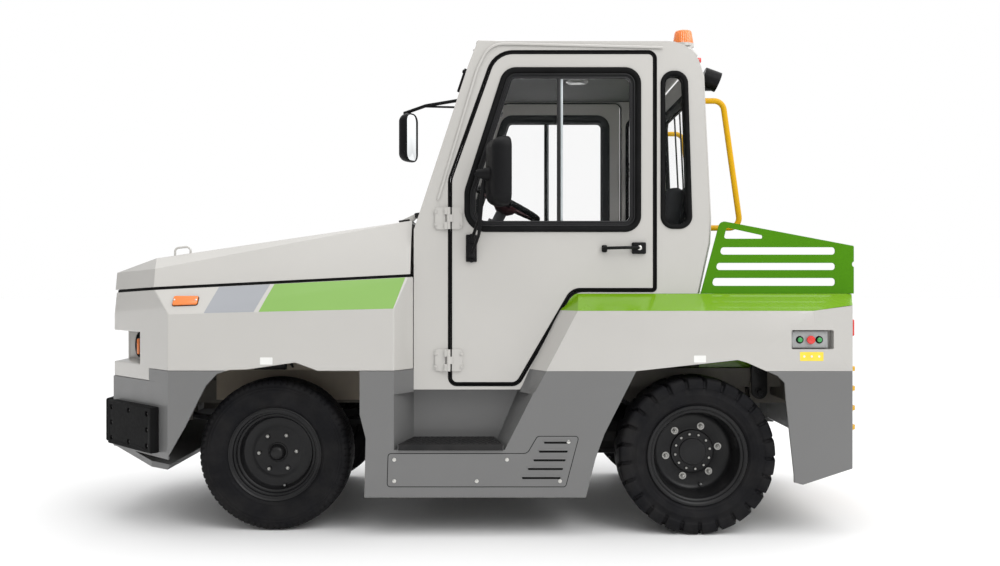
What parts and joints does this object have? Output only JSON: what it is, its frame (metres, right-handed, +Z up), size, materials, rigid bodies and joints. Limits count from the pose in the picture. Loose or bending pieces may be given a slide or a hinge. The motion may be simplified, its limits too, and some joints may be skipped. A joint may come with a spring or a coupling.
{
  "type": "electric baggage tractor with enclosed cab",
  "caption": "Four-wheel electric airport tow tractor with an enclosed cab, opening doors and hood, steered front wheels, side steps, cushioned nose and a stepped tow hitch.",
  "frame": {"origin": "On the ground, under the middle of the vehicle's bounding box.", "axes": "+Z is up, the vehicle drives towards -Y, and +X is its left side."},
  "size_m": [1.73, 3.64, 2.2437],
  "materials": {
    "white_paint": "gloss off-white body paint",
    "grey_paint": "satin mid-grey paint on the lower body",
    "beige_liner": "matt beige inner panel paint",
    "frame_paint": "matt warm-grey chassis paint",
    "green_paint": "gloss light-green paint",
    "guard_green": "gloss deep-green paint",
    "yellow_paint": "gloss safety-yellow paint",
    "black_metal": "satin black paint",
    "black_rubber": "moulded black rubber",
    "tyre_rubber": "black tyre rubber",
    "black_plastic": "grained black plastic",
    "cab_trim": "dark grey cab trim",
    "seat_cloth": "dark grey seat cloth",
    "window_glass": "clear safety glass",
    "amber_lens": "amber lens on a black base",
    "lamp_glass": "clear lamp lens in a beige pressed recess"
  },
  "bodies": {
    "chassis": {"chassis_frame": "frame_paint", "battery_pack": "black_metal", "front_cowl": "white_paint", "front_apron": "grey_paint", "front_bumper_pad": "black_rubber", "left_bumper_pad": "black_rubber", "right_bumper_pad": "black_rubber", "left_headlight": "lamp_glass", "right_headlight": "lamp_glass", "left_side_skirt": "grey_paint", "right_side_skirt": "grey_paint", "left_cab_side": "white_paint", "right_cab_side": "white_paint", "left_quarter_glass": "window_glass", "right_quarter_glass": "window_glass", "cab_front_panel": "white_paint", "windshield": "window_glass", "cab_back_panel": "white_paint", "rear_window": "window_glass", "cab_roof": "white_paint", "cab_floor": "cab_trim", "dashboard": "cab_trim", "driver_seat": "seat_cloth", "passenger_seat": "seat_cloth", "rear_deck": "green_paint", "left_rear_quarter": "white_paint", "right_rear_quarter": "white_paint", "tail_plate": "grey_paint", "left_rear_valance": "grey_paint", "right_rear_valance": "grey_paint", "left_inner_arch": "beige_liner", "right_inner_arch": "beige_liner", "tow_hitch": "yellow_paint", "deck_guard": "guard_green", "left_grab_rail": "yellow_paint", "right_grab_rail": "yellow_paint", "beacon": "amber_lens", "rear_work_light": "black_plastic", "right_mirror": "black_plastic", "front_axle": "black_metal", "rear_axle": "black_metal"},
    "hood": {"hood": "white_paint"},
    "left_door": {"left_door": "white_paint", "left_door_glass": "window_glass", "left_mirror": "black_plastic"},
    "right_door": {"right_door": "white_paint", "right_door_glass": "window_glass"},
    "steering_wheel": {"steering_wheel": "black_plastic"},
    "left_knuckle": {"left_knuckle": "black_metal"},
    "right_knuckle": {"right_knuckle": "black_metal"},
    "tie_rod": {"tie_rod": "black_metal"},
    "front_left_wheel": {"front_left_wheel": "black_metal", "front_left_tyre": "tyre_rubber"},
    "front_right_wheel": {"front_right_wheel": "black_metal", "front_right_tyre": "tyre_rubber"},
    "rear_left_wheel": {"rear_left_wheel": "black_metal", "rear_left_tyre": "tyre_rubber"},
    "rear_right_wheel": {"rear_right_wheel": "black_metal", "rear_right_tyre": "tyre_rubber"}
  },
  "joints": [
    {"name": "left_steer", "type": "hinge", "parent": "chassis", "child": "left_knuckle", "pos_m": [0.44, -0.967, 0.3365], "axis": [0, 0, 1], "range_deg": [-32, 32]},
    {"name": "right_steer", "type": "hinge", "parent": "chassis", "child": "right_knuckle", "pos_m": [-0.44, -0.967, 0.3365], "axis": [0, 0, 1], "range_deg": [-32, 32]},
    {"name": "tie_rod_pivot", "type": "hinge", "parent": "left_knuckle", "child": "tie_rod", "pos_m": [0.44, -0.802, 0.3365], "axis": [0, 0, 1], "range_deg": [-32, 32]},
    {"name": "steering_column", "type": "hinge", "parent": "chassis", "child": "steering_wheel", "pos_m": [0.28, 0.06, 1.475], "axis": [0, 0.454, 0.891], "range_deg": [-352, 352]},
    {"name": "left_door_hinge", "type": "hinge", "parent": "chassis", "child": "left_door", "pos_m": [0.657, -0.196, 1.0675], "axis": [0, 0, -1], "range_deg": [0, 75]},
    {"name": "right_door_hinge", "type": "hinge", "parent": "chassis", "child": "right_door", "pos_m": [-0.657, -0.196, 1.0675], "axis": [0, 0, 1], "range_deg": [0, 75]},
    {"name": "hood_hinge", "type": "hinge", "parent": "chassis", "child": "hood", "pos_m": [0, -0.349, 1.398], "axis": [-1, 0, 0], "range_deg": [0, 55]},
    {"name": "front_left_spin", "type": "hinge", "parent": "left_knuckle", "child": "front_left_wheel", "pos_m": [0.55, -0.967, 0.3365], "axis": [1, 0, 0], "continuous": true},
    {"name": "rear_left_spin", "type": "hinge", "parent": "chassis", "child": "rear_left_wheel", "pos_m": [0.61, 0.888, 0.3435], "axis": [1, 0, 0], "continuous": true},
    {"name": "front_right_spin", "type": "hinge", "parent": "right_knuckle", "child": "front_right_wheel", "pos_m": [-0.55, -0.967, 0.3365], "axis": [1, 0, 0], "continuous": true},
    {"name": "rear_right_spin", "type": "hinge", "parent": "chassis", "child": "rear_right_wheel", "pos_m": [-0.61, 0.888, 0.3435], "axis": [1, 0, 0], "continuous": true}
  ],
  "couplings": [
    {"joint": "right_steer", "follows": "left_steer", "ratio": 1},
    {"joint": "tie_rod_pivot", "follows": "left_steer", "ratio": -1},
    {"joint": "steering_column", "follows": "left_steer", "ratio": 11}
  ]
}
